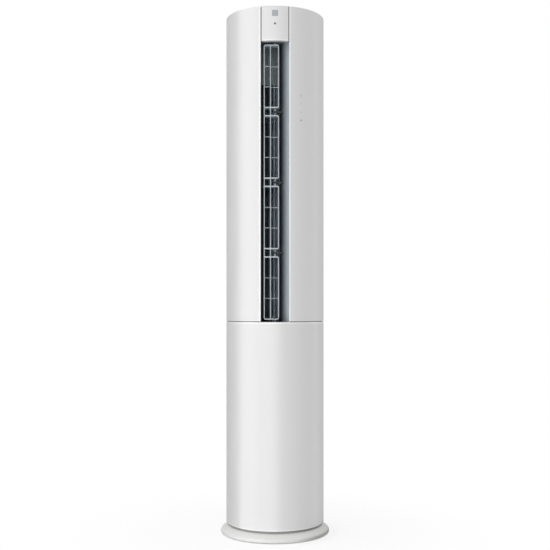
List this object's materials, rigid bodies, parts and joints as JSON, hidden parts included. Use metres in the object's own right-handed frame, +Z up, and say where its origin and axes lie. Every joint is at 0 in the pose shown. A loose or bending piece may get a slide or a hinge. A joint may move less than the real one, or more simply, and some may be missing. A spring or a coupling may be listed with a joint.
{
  "type": "floor standing air conditioner",
  "caption": "Tall round floor standing air conditioner with a flared plinth, a full height front air outlet with a swinging louver, and a removable rear intake grille.",
  "frame": {"origin": "middle of the base on the floor", "axes": "+Z up along the cabinet's axis, -Y towards the front with the air outlet, +X to the right seen from the front"},
  "size_m": [0.391, 0.391, 1.85],
  "materials": {
    "cabinet_white": "satin white moulded panels",
    "plinth_white": "satin white",
    "window_grey": "tinted window",
    "lens_dark": "dark infrared window",
    "louver_grey": "pale blue grey moulding",
    "duct_grey": "grey moulding",
    "fan_grey": "dark grey moulding",
    "grille_white": "white grille",
    "filter_frame": "dark frame",
    "filter_mesh": "fine nylon mesh",
    "fin_aluminium": "thin fins",
    "plate_steel": "galvanised sheet",
    "copper": "copper tube",
    "brass": "turned brass",
    "rubber": "black rubber",
    "board_green": "circuit board",
    "pan_white": "white foam and plastic",
    "motor_steel": "painted motor case",
    "terminal_black": "black terminal block"
  },
  "bodies": {
    "cabinet": {"base_plinth": "plinth_white", "base_plate": "plate_steel", "rubber_feet": "rubber", "lower_front_panel": "cabinet_white", "lower_rear_panel": "cabinet_white", "pipe_grommet": "rubber", "cord_gland": "rubber", "column_front_left": "plate_steel", "column_front_right": "plate_steel", "column_rear_left": "plate_steel", "column_rear_right": "plate_steel", "chassis_floor": "duct_grey", "chassis_ceiling": "duct_grey", "stabiliser_wall": "duct_grey", "volute_wall": "duct_grey", "upper_left_panel": "cabinet_white", "upper_right_panel": "cabinet_white", "cap_panel": "cabinet_white", "status_window": "window_grey", "receiver_lens": "lens_dark", "receiver_board": "board_green", "touch_board": "board_green", "top_cover": "cabinet_white", "fan_bearing": "rubber", "fan_motor": "motor_steel", "motor_mounts": "rubber", "louver_brackets": "duct_grey", "louver_motor": "plate_steel", "evaporator_fins": "fin_aluminium", "evaporator_bottom_plate": "plate_steel", "evaporator_top_plate": "plate_steel", "evaporator_return_bends": "copper", "drain_pan": "pan_white", "drain_hose": "pan_white", "gas_pipe": "copper", "liquid_pipe": "copper", "flare_nuts": "brass", "control_box": "plate_steel", "control_board": "board_green", "terminal_block": "terminal_black", "control_box_cover": "plate_steel"},
    "fan": {"fan_rotor": "fan_grey", "fan_hub": "rubber", "motor_shaft": "plate_steel", "fan_journal": "plate_steel"},
    "louver": {"swing_louver": "louver_grey", "louver_motor_shaft": "brass"},
    "rear_grille": {"intake_grille": "grille_white", "filter_frame": "filter_frame", "filter_mesh": "filter_mesh"}
  },
  "joints": [
    {"name": "fan_spin", "type": "hinge", "parent": "cabinet", "child": "fan", "pos_m": [-0.008, -0.01518, 1.24], "axis": [0, 0, 1], "continuous": true},
    {"name": "louver_swing", "type": "hinge", "parent": "cabinet", "child": "louver", "pos_m": [0, -0.13698, 1.248], "axis": [0, 0, 1], "range_deg": [-30, 30]},
    {"name": "grille_pull", "type": "slide", "parent": "cabinet", "child": "rear_grille", "axis": [0, 1, 0], "range_m": [0, 0.14]}
  ]
}
